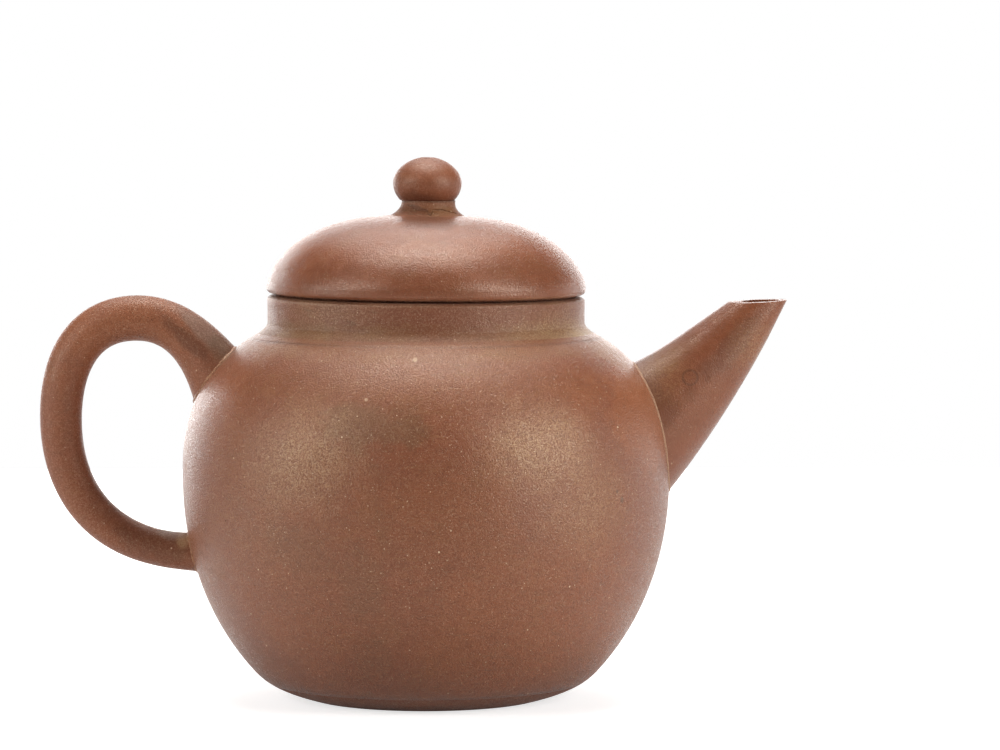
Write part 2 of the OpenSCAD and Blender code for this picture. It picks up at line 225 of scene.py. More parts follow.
class PotCurve:
    """The pot's outside, which the wall, the joints and the other pieces share."""

    def __init__(self, pot):
        self.pot = pot
        self.lower_h = pot.belly_z / full(
            (pot.foot_r + pot.foot_round) / pot.belly_r, pot.lower_n
        )
        self.upper_h = (pot.shoulder_z - pot.belly_z) / full(
            pot.neck_r / pot.belly_r, pot.upper_n
        )

    def foot_in(self, z):
        """How far the curve is rounded in above the foot."""
        pot = self.pot
        return pot.foot_round * max(0.0, 1 - z / pot.foot_round_h) ** 3

    def radius(self, z):
        """Outer radius at a height."""
        pot, rise = self.pot, z - self.pot.belly_z
        if rise > 0:
            return pot.belly_r * full(rise / self.upper_h, pot.upper_n)
        return pot.belly_r * full(rise / self.lower_h, pot.lower_n) - self.foot_in(z)

    def height(self, r):
        """Height of the upper curve at a radius."""
        pot = self.pot
        return pot.belly_z + self.upper_h * full(r / pot.belly_r, pot.upper_n)

    def line(self, inset, low_z, high_r, count=72):
        """Half outline from a height below the belly up to a radius above it."""
        pot, r = self.pot, self.pot.belly_r - inset
        lower = self.lower_h - inset, pot.lower_n
        upper = self.upper_h - inset, pot.upper_n
        drop = pot.belly_z - low_z
        start = atan2(-drop, r * full(drop / lower[0], pot.lower_n))
        end = atan2(upper[0] * full(high_r / r, pot.upper_n), high_r)
        points = []
        for a in steps(start, end, count):
            x, y = oval_point(a, r, *(upper if a > 0 else lower))
            z = pot.belly_z + y
            points.append((x if inset else x - self.foot_in(z), z))
        return points


def bend3(p, q, r, count):
    """Points of a smooth corner from p round q to r."""
    p, q, r = Vector(p), Vector(q), Vector(r)
    return [tuple(p.lerp(q, t).lerp(q.lerp(r, t), t)) for t in steps(0, 1, count)]


# ---------------------------------------------------------------- making pieces

# Points closer than this are merged into one
SAME_POINT = 1e-6
# Points of one ring of a turned piece stand within this of its height and radius
SAME_RING = 2e-6


def pick_up(piece):
    """Makes the piece the one in hand, and the only one selected."""
    bpy.ops.object.select_all(action="DESELECT")
    bpy.context.view_layer.objects.active = piece
    piece.select_set(True)


def choose(test):
    """Selects the points of the piece in hand that stand where test says."""
    mesh = bmesh.from_edit_mesh(bpy.context.object.data)
    for v in mesh.verts:
        v.select_set(bool(test(v.co)))
    mesh.select_flush_mode()
    bmesh.update_edit_mesh(bpy.context.object.data)


def take_up(name, primitive, **place):
    """Adds a primitive at its size and place, all of it selected for editing."""
    bpy.ops.object.select_all(action="DESELECT")
    primitive(**place)
    piece = bpy.context.object
    piece.name = piece.data.name = name
    bpy.ops.object.transform_apply(location=True, rotation=True, scale=True)
    bpy.ops.object.mode_set(mode="EDIT")
    bpy.ops.mesh.select_all(action="SELECT")
    return piece


def take_plain(name, primitive, **place):
    """Adds a primitive that is used as it comes."""
    piece = take_up(name, primitive, **place)
    bpy.ops.object.mode_set(mode="OBJECT")
    return piece


def draw_out(way):
    """Extrudes what is selected by a way."""
    bpy.ops.mesh.extrude_region_move(TRANSFORM_OT_translate={"value": way})


def close_up():
    """Merges doubles, closes open ends and turns the faces outwards."""
    bpy.ops.mesh.select_all(action="SELECT")
    bpy.ops.mesh.remove_doubles(threshold=SAME_POINT)
    bpy.ops.mesh.fill_holes(sides=0)
    bpy.ops.mesh.select_all(action="SELECT")
    bpy.ops.mesh.normals_make_consistent(inside=False)
    bpy.ops.object.mode_set(mode="OBJECT")


def turn(name, outline, sides):
    """Turns a piece on the pot's axis from its half outline of (radius, height)."""
    at, *rest = outline
    piece = take_up(
        name, bpy.ops.mesh.primitive_plane_add, size=MM, location=(at[0], 0, at[1])
    )
    bpy.ops.mesh.merge(type="CENTER")
    for to in [*rest, outline[0]]:
        draw_out((to[0] - at[0], 0, to[1] - at[1]))
        at = to
    bpy.ops.mesh.select_all(action="SELECT")
    bpy.ops.mesh.remove_doubles(threshold=SAME_POINT)
    bpy.ops.mesh.spin(
        steps=sides, angle=2 * pi, center=(0, 0, 0), axis=(0, 0, 1), use_auto_merge=True
    )
    close_up()
    return piece


def apply(piece, modifier):
    """Applies one modifier for good."""
    pick_up(piece)
    bpy.ops.object.modifier_apply(modifier=modifier.name)


def soften(piece, width, angle, segments=3):
    """Rounds the piece's edges as fingers and a damp cloth leave them."""
    cut = piece.modifiers.new("soften", "BEVEL")
    cut.width = width
    cut.segments = segments
    cut.limit_method = "ANGLE"
    cut.angle_limit = radians(angle)
    apply(piece, cut)


def carve(piece, tool):
    """Takes the tool's shape out of the piece, and puts the tool away."""
    cut = piece.modifiers.new("carve", "BOOLEAN")
    cut.operation = "DIFFERENCE"
    cut.solver = "EXACT"
    cut.object = tool
    apply(piece, cut)
    bpy.data.objects.remove(tool)


def lean(piece, bore_r, foot_z, shift, slope):
    """Sets a turned piece a little to the spout's side, but for its bore.

    The shift grows by the slope with the height above foot_z.
    """
    pick_up(piece)
    bpy.ops.object.mode_set(mode="EDIT")
    for z in sorted({round(v.co.z, 6) for v in piece.data.vertices}):
        choose(
            lambda p: abs(p.z - z) < SAME_RING and hypot(p.x, p.y) > bore_r + 0.1 * MM
        )
        move = shift + slope * max(0.0, z - foot_z)
        bpy.ops.transform.translate(value=(move, 0, 0))
    bpy.ops.object.mode_set(mode="OBJECT")


def settle(piece, slant, low_z, high_z):
    """Settles a turned piece on the spout's side: not at low_z, fully at high_z."""
    rings = {
        (round(v.co.z, 6), round(hypot(v.co.x, v.co.y), 6)) for v in piece.data.vertices
    }
    pick_up(piece)
    bpy.ops.object.mode_set(mode="EDIT")
    for z, r in sorted(rings):
        share = max(0.0, min(1.0, (z - low_z) / (high_z - low_z)))
        choose(
            lambda p: abs(p.z - z) < SAME_RING and abs(hypot(p.x, p.y) - r) < SAME_RING
        )
        bpy.ops.transform.rotate(
            value=-slant * share, orient_axis="Y", center_override=(0, 0, z)
        )
    bpy.ops.object.mode_set(mode="OBJECT")


def tip(piece, slant, z):
    """Tips a piece of the lid down on the spout's side, about a height on the axis."""
    pick_up(piece)
    piece.rotation_euler.y = slant
    piece.location = (-z * sin(slant), 0, z * (1 - cos(slant)))
    bpy.ops.object.transform_apply(location=True, rotation=True, scale=True)
    return piece


def finish_piece(piece, body, slot, clay, *nodes, smooth=38):
    """Shades the piece, gives it its clay and lets it ride on its body."""
    pick_up(piece)
    bpy.ops.object.shade_smooth_by_angle(angle=radians(smooth))
    piece.data.materials.clear()
    piece.data.materials.append(clay)
    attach(piece, body)
    if nodes:
        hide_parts(*nodes)


def pot_blank(scene):
    """The pot as one plain solid, which cuts the ends of the spout and the handle."""
    inset, low_z, high_r = 0.15 * MM, 2 * MM, 4 * MM
    line = PotCurve(scene.teapot_pot).line(inset, low_z, high_r)
    outline = [(0, low_z), *line, (0, line[-1][1])]
    return turn("pot_blank", outline, scene.teapot_looks.sides)


def lay_coil(name, line, thickness, closed=True):
    """A thin, uneven coil of clay along a line of points."""
    curve = bpy.data.curves.new(name, "CURVE")
    curve.dimensions = "3D"
    curve.bevel_depth = thickness
    curve.bevel_resolution = 3
    curve.use_fill_caps = True
    run = curve.splines.new("POLY")
    run.points.add(len(line) - 1)
    for i, (point, at) in enumerate(zip(run.points, line)):
        point.co = (*at, 1)
        lumps = 0.05 * sin(1.3 * i) * sin(0.37 * i + 1)
        point.radius = 1 + lumps + 0.06 * sin(0.41 * i)
    run.use_cyclic_u = closed
    coil = bpy.data.objects.new(name, curve)
    bpy.context.scene.collection.objects.link(coil)
    pick_up(coil)
    bpy.ops.object.convert(target="MESH")
    return bpy.context.object


def lay_slip(name, line, thickness, slot, clay):
    """The line of slip that a joint on the pot squeezes out."""
    finish_piece(lay_coil(name, line, thickness), "pot", slot, clay, smooth=80)


# ---------------------------------------------------------------- clay


class Nodes:
    """Writes the node tree of a material or a world, one call a node."""

    def __init__(self, owner):
        owner.use_nodes = True
        self.tree = owner.node_tree

    def node(self, kind, inputs=None, **settings):
        made = self.tree.nodes.new("ShaderNode" + kind)
        for key, value in settings.items():
            setattr(made, key, value)
        for key, value in (inputs or {}).items():
            self.put(made.inputs[key], value)
        return made

    def put(self, socket, value):
        """Links a node's output to a socket, or sets a plain value there."""
        if isinstance(value, bpy.types.NodeSocket):
            self.tree.links.new(value, socket)
        else:
            socket.default_value = value

    def calc(self, operation, *values):
        """A Math node."""
        made = self.node("Math", operation=operation)
        for socket, value in zip(made.inputs, values):
            self.put(socket, value)
        return made.outputs[0]

    def times(self, value, factor):
        return self.calc("MULTIPLY", value, factor)

    def total(self, first, *others):
        for value in others:
            first = self.calc("ADD", first, value)
        return first


class ClayNodes(Nodes):
    """A material's nodes, with the patterns that the clay is painted from."""

    def __init__(self, name):
        self.material = bpy.data.materials.new(name)
        super().__init__(self.material)
        self.surface = self.tree.nodes["Principled BSDF"]
        self.place = self.node("TexCoord").outputs["Object"]

    def ramp(self, value, low, high, to_low=0.0, to_high=1.0, easing="SMOOTHSTEP"):
        """Value from low..high brought to to_low..to_high, eased in and out."""
        made = self.node(
            "MapRange",
            {0: value, 1: low, 2: high, 3: to_low, 4: to_high},
            interpolation_type=easing,
        )
        return made.outputs[0]

    def even(self, value, low, high, to_low, to_high):
        """The same, but straight."""
        return self.ramp(value, low, high, to_low, to_high, "LINEAR")

    def blend(self, share, a, b):
        """Colour a turned towards colour b."""
        made = self.node("Mix", data_type="RGBA", blend_type="MIX", clamp_factor=True)
        self.put(made.inputs[0], share)
        for socket, paint in ((made.inputs[6], a), (made.inputs[7], b)):
            linked = isinstance(paint, bpy.types.NodeSocket)
            self.put(socket, paint if linked else (*tuple(paint)[:3], 1))
        return made.outputs[2]

    def moved(self, at=(0, 0, 0), size=(1, 1, 1), lie=(0, 0, 0)):
        """Places seen from a point, measured in the given sizes."""
        made = self.node(
            "Mapping",
            {"Vector": self.place, "Location": at, "Rotation": lie, "Scale": size},
            vector_type="TEXTURE",
        )
        return made.outputs[0]

    def clouds(self, size, detail=3.0, rough=0.5, warp=0.0, at=None):
        """Soft noise with features of about the given size in metres."""
        made = self.node(
            "TexNoise",
            {
                "Vector": at or self.place,
                "Scale": 1 / size,
                "Detail": detail,
                "Roughness": rough,
                "Distortion": warp,
            },
        )
        return made.outputs["Fac"]

    def distance(self, place):
        """How far a place lies from where it is measured from."""
        return self.node("VectorMath", {0: place}, operation="LENGTH").outputs["Value"]

    def ragged(self, size, detail, reach):
        """An uneven edge: what to add to a measure, up to reach either way."""
        return self.even(self.clouds(size, detail, 0.6), 0.3, 0.7, -reach, reach)

    def spots(self, spacing, radius, chance):
        """Round spots in some of the cells of a spacing: 1 inside a spot."""
        made = self.node("TexVoronoi", {"Vector": self.place, "Scale": 1 / spacing})
        pick = self.node("SeparateColor", {0: made.outputs["Color"]})
        reach = radius / spacing
        reach = self.ramp(pick.outputs[1], 0, 1, reach * 0.45, reach)
        inside = self.calc("DIVIDE", made.outputs["Distance"], reach)
        inside = self.ramp(inside, 1.0, 0.65)
        return self.times(inside, self.calc("LESS_THAN", pick.outputs[0], chance))

    def band(self, low, high, edge):
        """A level band between two heights, its edges soft and a little wavy."""
        z = self.node("SeparateXYZ", {0: self.place}).outputs[2]
        z = self.total(z, self.ragged(9 * MM, 3, edge * 0.7))
        above = self.ramp(z, low - edge, low + edge)
        return self.times(above, self.ramp(z, high + edge, high - edge))

    def ring(self, at, radius, width):
        """A thin ring left on the skin round a point."""
        off = self.calc("SUBTRACT", self.distance(self.moved(at, (radius,) * 3)), 1.0)
        return self.ramp(self.calc("ABSOLUTE", off), width / radius, 0)

    def stain(self, at, size, lie=0.0, edge=0.45, wobble=0.35):
        """A soft patch round a point: 1 in its middle, 0 beyond its size."""
        far = self.distance(self.moved(at, size, (0, lie, 0)))
        far = self.total(far, self.ragged(4.5 * MM, 4, wobble))
        return self.ramp(far, 1 + edge / 2, 1 - edge)


def in_metres(millimetres):
    return [v * MM for v in millimetres]


# Pale grains: spacing and radius in millimetres, and strength. The last are the
# largest, and the only ones that can be felt.
GRAINS = ((0.45, 0.085, 0.38), (0.95, 0.11, 0.70), (2.8, 0.17, 0.95))


def fired_clay(
    looks,
    name,
    stains=(),
    dust_and_sheen=(),
    bands=(),
    rings=(),
    khaki=1.0,
    grain=1.0,
    gloss=0.0,
    streaks=0.0,
    shade=1.0,
):
    """Fired, tea-stained clay: warm and khaki patches, sand, pits, a burnished grain.

    In millimetres, stains are (place, size, colour, strength and perhaps a turn),
    dusty (place, size, strength), bands (low, high, edge, colour, strength) and
    rings (place in metres, radius, width, strength). Gloss is added to the roughness.
    Some stains and bands are painted shade, one is a painted reflection, and the gold
    dust patches carry a painted sheen where the highlights fall.
    """
    clay = ClayNodes(name)
    broad = clay.clouds(21 * MM, 4, 0.55, 0.4)
    mixed = clay.clouds(8.5 * MM, 5, 0.6, 0.6, clay.moved((0.03, -0.02, 0.01)))
    wiped = clay.clouds(4.5 * MM, 4, 0.65, 0.3, clay.moved(size=(1, 1, 0.16)))
    fine = clay.clouds(1.7 * MM, 4, 0.65)
    sandy = clay.clouds(0.30 * MM, 2, 0.75)
    dust = clay.clouds(0.17 * MM, 1, 0.5, 0, clay.moved((0.011, 0.017, 0.005)))
    both = clay.total(clay.times(sandy, 0.5), clay.times(dust, 0.5))
    coarse = clay.even(both, 0.45, 0.62, 0.22, 1.3)
    pits = clay.spots(5.2 * MM, 0.22 * MM, 0.5)

    # What the kiln and the tea have left, and some painted shade, a painted reflection
    # and a painted sheen
    colour = clay.blend(clay.ramp(broad, 0.42, 0.70, 0, 0.5), looks.red, looks.orange)
    for pattern, low, high, strength, paint in (
        (mixed, 0.53, 0.74, 0.42, looks.khaki),
        (wiped, 0.50, 0.70, 0.42, looks.khaki),
        (wiped, 0.46, 0.30, 0.30, looks.olive),
    ):
        patches = clay.ramp(pattern, low, high, 0, strength * khaki)
        colour = clay.blend(patches, colour, paint)
    for low, high, edge, paint, strength in bands:
        share = clay.times(clay.band(low * MM, high * MM, edge * MM), strength)
        share = clay.times(share, clay.ramp(mixed, 0.35, 0.6, 0.45, 1.0))
        colour = clay.blend(share, colour, paint)
    for at, size, paint, strength, *lie in stains:
        patch = clay.stain(in_metres(at), in_metres(size), *lie)
        colour = clay.blend(clay.times(patch, strength), colour, paint)
    # Gold dust with a painted sheen: on the belly and shoulder these patches lie where
    # the highlights fall
    for at, size, strength in dust_and_sheen:
        patch = clay.stain(in_metres(at), in_metres(size), edge=1.0, wobble=0.22)
        share = clay.times(clay.times(patch, coarse), strength)
        colour = clay.blend(share, colour, looks.gold)
    for at, radius, width, strength in rings:
        share = clay.times(clay.ring(at, radius * MM, width * MM), strength)
        colour = clay.blend(share, colour, looks.dark)
    tinted = clay.node("VectorMath", {0: colour}, operation="SCALE")
    tint = clay.even(fine, 0.3, 0.7, 0.94 * shade, 1.06 * shade)
    clay.put(tinted.inputs["Scale"], tint)

    # Sand, pits and grains in the skin
    colour = tinted.outputs[0]
    pale = clay.even(both, 0.50, 0.68, 0, 0.23 * grain)
    colour = clay.blend(pale, colour, looks.sand)
    deep = clay.even(both, 0.48, 0.34, 0, 0.52 * grain)
    colour = clay.blend(deep, colour, looks.dark)
    colour = clay.blend(clay.times(pits, 0.8), colour, looks.dark)
    for spacing, radius, strength in GRAINS:
        grains = clay.spots(spacing * MM, radius * MM, 0.85)
        share = clay.times(grains, strength * min(1, grain))
        colour = clay.blend(share, colour, looks.sand)
    clay.put(clay.surface.inputs["Base Color"], colour)

    # The burnished skin: plain values on the shader's own sockets
    level = looks.gloss + gloss
    rough = clay.total(
        clay.even(fine, 0.3, 0.7, level - 0.05, level + 0.06),
        clay.even(both, 0.35, 0.65, 0.16, -0.14),
        clay.times(pits, 0.3),
    )
    clay.put(clay.surface.inputs["Roughness"], rough)
    clay.put(clay.surface.inputs["IOR"], 1.52)
    clay.put(clay.surface.inputs["Specular IOR Level"], 0.60)
    clay.put(clay.surface.inputs["Specular Tint"], (1.0, 0.82, 0.68, 1.0))
    clay.put(clay.surface.inputs["Sheen Weight"], 0.02)
    clay.put(clay.surface.inputs["Sheen Roughness"], 0.5)

    relief = [
        clay.even(sandy, 0.25, 0.75, 0, looks.grain * grain),
        clay.even(dust, 0.25, 0.75, 0, looks.grain * 0.55 * grain),
        clay.even(fine, 0.25, 0.75, 0, 0.022 * MM),
        clay.even(broad, 0.2, 0.8, 0, 0.16 * MM),
        clay.times(pits, -0.09 * MM),
        clay.times(grains, 0.02 * MM),
    ]
    if streaks:
        turned = clay.clouds(3.2 * MM, 3, 0.6, 0, clay.moved(size=(1, 1, 0.07)))
        relief.append(clay.even(turned, 0.3, 0.7, 0, streaks))
    height = clay.total(*relief)
    bump = clay.node("Bump", {"Height": height, "Distance": 1.0, "Strength": 1.0})
    clay.put(clay.surface.inputs["Normal"], bump.outputs[0])
    return clay.material


def named_clay(scene, name):
    """The clay of one piece, made once. See fired_clay for what the lists hold."""
    if name in bpy.data.materials:
        return bpy.data.materials[name]
    looks = scene.teapot_looks
    # A faint ring on the spout's underside, near its root
    low_on_spout = SpoutShape(scene).point(-pi / 2 + 0.08, 6.6 * MM)
    recipes = {
        "body clay": dict(
            streaks=0.007 * MM,
            khaki=0.6,
            stains=[
                ((31, -13, 44), (9, 12, 9), looks.orange, 0.75),
                ((-33, 0, 53), (7, 9, 4), looks.olive, 0.45),
                ((30, -8, 53.5), (6, 9, 3), looks.khaki, 0.5),
                # Painted shade: the belly's front middle darker
                ((2, -37, 31), (13, 9, 10), looks.dark, 0.17),
                ((-9.5, -35, 20), (3.5, 6, 6), looks.olive, 0.20),
                ((-19, -31, 26), (6, 6, 5), looks.olive, 0.17),
                ((-7.0, -33, 43.6), (9, 6, 3.8), looks.olive, 0.40),
                ((-8, -30, 9), (3, 6, 4), looks.olive, 0.16),
                ((29.0, -23.2, 32.3), (0.40, 0.6, 0.60), looks.dark, 0.85),
                ((28.3, -24.2, 33.6), (0.25, 0.4, 0.25), looks.dark, 0.7),
                ((-1.63, -29.1, 53.5), (0.42, 0.7, 0.42), looks.sand, 0.55),
                ((-8.76, -33.0, 47.93), (0.30, 0.6, 0.30), looks.sand, 0.55),
            ],
            # Gold dust with a painted sheen, laid where the highlights fall on the
            # belly and shoulder
            dust_and_sheen=[
                ((-19, -33, 39.5), (9, 9, 7), 0.52),
                ((17, -33, 41), (9, 9, 6), 0.52),
                ((24, -28, 32), (8, 9, 7), 0.30),
                ((-28, -26, 32), (11, 11, 12), 0.12),
                ((-2, -30, 50), (30, 12, 6), 0.12),
            ],
            bands=[
                (53.2, 56.6, 0.9, looks.khaki, 0.5),
                (55.0, 55.35, 0.14, looks.dark, 0.55),
            ],
        ),
        "neck clay": dict(
            stains=[
                ((4, -25, 58), (6, 6, 5), looks.red, 0.6),
                ((23, -9, 55.2), (5, 9, 1.6), looks.gold, 0.55),
            ],
            bands=[
                (54.6, 58.0, 0.7, looks.khaki, 0.85),
                (55.9, 56.8, 0.35, looks.gold, 0.22),
                (55.12, 55.42, 0.12, looks.dark, 0.60),
                (60.9, 61.6, 0.12, looks.sand, 0.16),
            ],
            dust_and_sheen=[
                ((20, -14, 56.5), (8, 9, 3.2), 0.6),
                ((-15, -19, 60), (8, 8, 2.5), 0.25),
            ],
            streaks=0.018 * MM,
            shade=0.84,
            khaki=1.2,
            gloss=0.08,
        ),
        "base clay": dict(khaki=0.2, grain=0.9, gloss=0.25, shade=0.9),
        "spout clay": dict(
            stains=[
                ((46, -4, 50), (34, 20, 34), looks.red, 0.55),
                # Painted shade: a darker stripe along the spout's front
                ((45.5, -4, 53), (10.5, 6, 1.9), looks.dark, 0.34, -0.80),
                ((33.5, -6, 50), (2.6, 6, 5), looks.ash, 0.32),
                ((37, -6, 52.6), (5.0, 7, 2.0), looks.khaki, 0.45, -0.60),
                ((35.5, -8, 44), (3, 6, 4.5), looks.dark, 0.25),
            ],
            dust_and_sheen=[
                ((51, -3, 53.5), (4.5, 6, 4.5), 0.30),
                ((36, -7, 50), (4, 6, 5), 0.26),
            ],
            grain=0.5,
            shade=0.95,
            rings=[(low_on_spout, 1.12, 0.30, 0.60)],
            khaki=0.7,
        ),
        "handle clay": dict(
            stains=[
                ((-46, 0, 56), (12, 6, 6), looks.orange, 0.5),
                ((-36.4, -3, 55.0), (5.5, 6, 1.2), looks.dark, 0.48, 0.75),
                ((-34.2, -3, 56.7), (5.0, 6, 1.3), looks.ash, 0.62, 0.75),
                ((-31.0, -4, 53.8), (2.0, 4, 2.6), looks.olive, 0.45),
                ((-41.5, 0, 23.6), (6, 6, 2.6), looks.dark, 0.42, 0.2),
                ((-37.2, -2, 24.8), (1.0, 5, 1.6), looks.gold, 0.45),
                ((-38.5, -2, 25.4), (2.6, 5, 1.0), looks.ash, 0.6),
            ],
            khaki=0.45,
            grain=0.85,
            gloss=0.15,
            shade=1.07,
        ),
        "lid clay": dict(
            # A painted reflection of the dark knob, on the lid's front below it
            stains=[((0.6, -10.5, 73.4), (4.8, 7, 1.6), looks.dark, 0.58)],
            bands=[
                # Painted shade: the dome darker round its lower side
                (62.4, 67.6, 1.7, looks.dark, 0.34),
                (60.8, 62.1, 0.2, looks.sand, 0.10),
            ],
            khaki=0.5,
            streaks=0.008 * MM,
            grain=0.62,
            gloss=-0.02,
            shade=1.06,
        ),
        "collar clay": dict(
            stains=[
                ((0.8, 0, 75), (9, 9, 1.8), looks.olive, 0.28),
                ((3, -4, 74.4), (2.6, 4, 0.9), looks.khaki, 0.6),
                # Painted shade in the pressed crease
                ((-1.4, -4, 75.0), (1.6, 3, 0.35), looks.dark, 0.5, 0.30),
            ],
            # Painted shade in the crease under the bead
            bands=[(75.78, 76.3, 0.10, looks.dark, 0.75)],
            khaki=1.8,
            grain=0.7,
            gloss=0.24,
            shade=1.08,
        ),
        "knob clay": dict(
            # Painted shade on the bead's lower part, above the collar
            stains=[((0, 0, 75.6), (9, 9, 2.4), looks.dark, 0.62)],
            khaki=0.5,
            grain=0.55,
            gloss=0.13,
        ),
        "inner clay": dict(khaki=0.3, grain=1.4, gloss=0.2, shade=0.85),
        "pale slip": dict(
            stains=[((0, 0, 40), (90, 90, 90), looks.slip, 0.52)],
            khaki=0.5,
            gloss=0.14,
        ),
        "brown slip": dict(
            khaki=1.5,
            gloss=0.14,
            dust_and_sheen=[((-36, 0, 40), (20, 20, 40), 0.4)],
        ),
    }
    return fired_clay(looks, name, **recipes[name])


# ---------------------------------------------------------------- the pieces


class TEAPOT_OT_body(bpy.types.Operator):
    """The beaten wall, with the outlet cut through behind the spout."""

    bl_idname = "teapot.body"
    bl_label = "Body wall"

    def execute(self, context):
        scene = context.scene
        pot, looks = scene.teapot_pot, scene.teapot_looks
        curve = PotCurve(pot)
        outside = curve.line(0, pot.base_t, pot.seam_r, 84)
        inside = curve.line(pot.wall, pot.base_t, pot.seam_r, 48)
        wall = turn("body_wall_clay", [*outside, *reversed(inside)], looks.sides)
        shape = SpoutShape(scene)
        # The drill reaches 8 mm inside and 3 mm outside the wall's skin
        drill = take_plain(
            "outlet_drill",
            bpy.ops.mesh.primitive_cylinder_add,
            vertices=64,
            radius=pot.outlet_r,
            depth=11 * MM,
            location=shape.root - shape.along * 2.5 * MM,
            rotation=shape.lie,
        )
        carve(wall, drill)
        clay = named_clay(scene, "body clay")
        finish_piece(wall, "pot", "body_clay", clay, "body_wall")
        return {"FINISHED"}


class TEAPOT_OT_base(bpy.types.Operator):
    """The base disc, its middle pressed in, with a bare square impression."""

    bl_idname = "teapot.base"
    bl_label = "Base"

    def execute(self, context):
        scene = context.scene
        pot, looks = scene.teapot_pot, scene.teapot_looks
        curve = PotCurve(pot)
        radii = steps(0, pot.dish_r, 20)
        dish = [(r, pot.dish_h * (1 - (r / pot.dish_r) ** 2)) for r in radii]
        edge = [(curve.radius(z), z) for z in steps(0, pot.base_t, 12)]
        edge[0] = (pot.foot_r, 0)
        base = turn("base_clay", [*dish, *edge, (0, pot.base_t)], looks.sides)
        soften(base, 0.05 * MM, angle=30)
        # A bare block with rounded edges, pressed in a little askew
        stamp = take_up(
            "stamp",
            bpy.ops.mesh.primitive_cube_add,
            size=pot.stamp_w,
            location=(0, 0, pot.dish_h + pot.stamp_h - pot.stamp_w / 2),
            rotation=(0, 0, radians(4)),
        )
        bpy.ops.mesh.bevel(offset=0.6 * MM, segments=4)
        bpy.ops.object.mode_set(mode="OBJECT")
        carve(base, stamp)
        clay = named_clay(scene, "base clay")
        finish_piece(base, "pot", "base_clay", clay, "base_disc", smooth=50)
        return {"FINISHED"}


class TEAPOT_OT_shoulder(bpy.types.Operator):
    """The shoulder disc that closes the wall, open in its middle for the mouth."""

    bl_idname = "teapot.shoulder"
    bl_label = "Shoulder disc"

    def execute(self, context):
        scene = context.scene
        pot, looks = scene.teapot_pot, scene.teapot_looks
        curve = PotCurve(pot)
        radii = steps(pot.seam_r, pot.mouth_r, 14)
        top = [(r, curve.height(r)) for r in radii]
        inner_r, inner_h = pot.belly_r - pot.wall, curve.upper_h - pot.wall
        under = [
            (r, pot.belly_z + inner_h * full(r / inner_r, pot.upper_n))
            for r in reversed(radii)
        ]
        disc = turn("shoulder_disc_clay", [*top, *under], looks.sides)
        soften(disc, 0.10 * MM, angle=50, segments=2)
        clay = named_clay(scene, "body clay")
        finish_piece(disc, "pot", "body_clay", clay, "shoulder_disc")
        return {"FINISHED"}


class TEAPOT_OT_neck(bpy.types.Operator):
    """The neck, with slip smoothed into the corner on the shoulder."""

    bl_idname = "teapot.neck"
    bl_label = "Neck"

    def execute(self, context):
        scene = context.scene
        pot, lid, looks = scene.teapot_pot, scene.teapot_lid, scene.teapot_looks
        curve = PotCurve(pot)
        # The slip follows the shoulder's slope, and runs out just below its skin
        foot_r = pot.neck_r + pot.slip_w
        slope = (curve.height(foot_r - MM) - curve.height(foot_r + MM)) / (2 * MM)
        foot_z = curve.height(foot_r) - 0.06 * MM
        fillet = bend3(
            (pot.neck_r, pot.shoulder_z + pot.slip_h),
            (pot.neck_r, foot_z + slope * pot.slip_w),
            (foot_r, foot_z),
            12,
        )
        under = [(r, curve.height(r) - 0.3 * MM) for r in steps(foot_r, pot.mouth_r, 8)]
        # The strip isn't quite straight: it waves a little below its rim
        rim, wave = 0.4 * MM, 0.035 * MM
        high_z, low_z = pot.rim_z - rim, fillet[0][1]
        side = [
            (pot.neck_r + wave * sin(8 * t) * (1 - t), high_z + t * (low_z - high_z))
            for t in steps(0, 1, 14)
        ]
        outline = [
            (pot.mouth_r, pot.rim_z),
            (lid.seat_r, pot.rim_z),
            (pot.neck_r - rim, pot.rim_z - lid.seam_gap / 2),
            *side[:-1],
            *fillet,
            *under,
        ]
        neck = turn("neck_clay", outline, looks.sides)
        settle(neck, lid.slant, low_z, high_z)
        soften(neck, 0.18 * MM, angle=30)
        clay = named_clay(scene, "neck clay")
        finish_piece(neck, "pot", "body_clay", clay, "neck_ring")
        return {"FINISHED"}


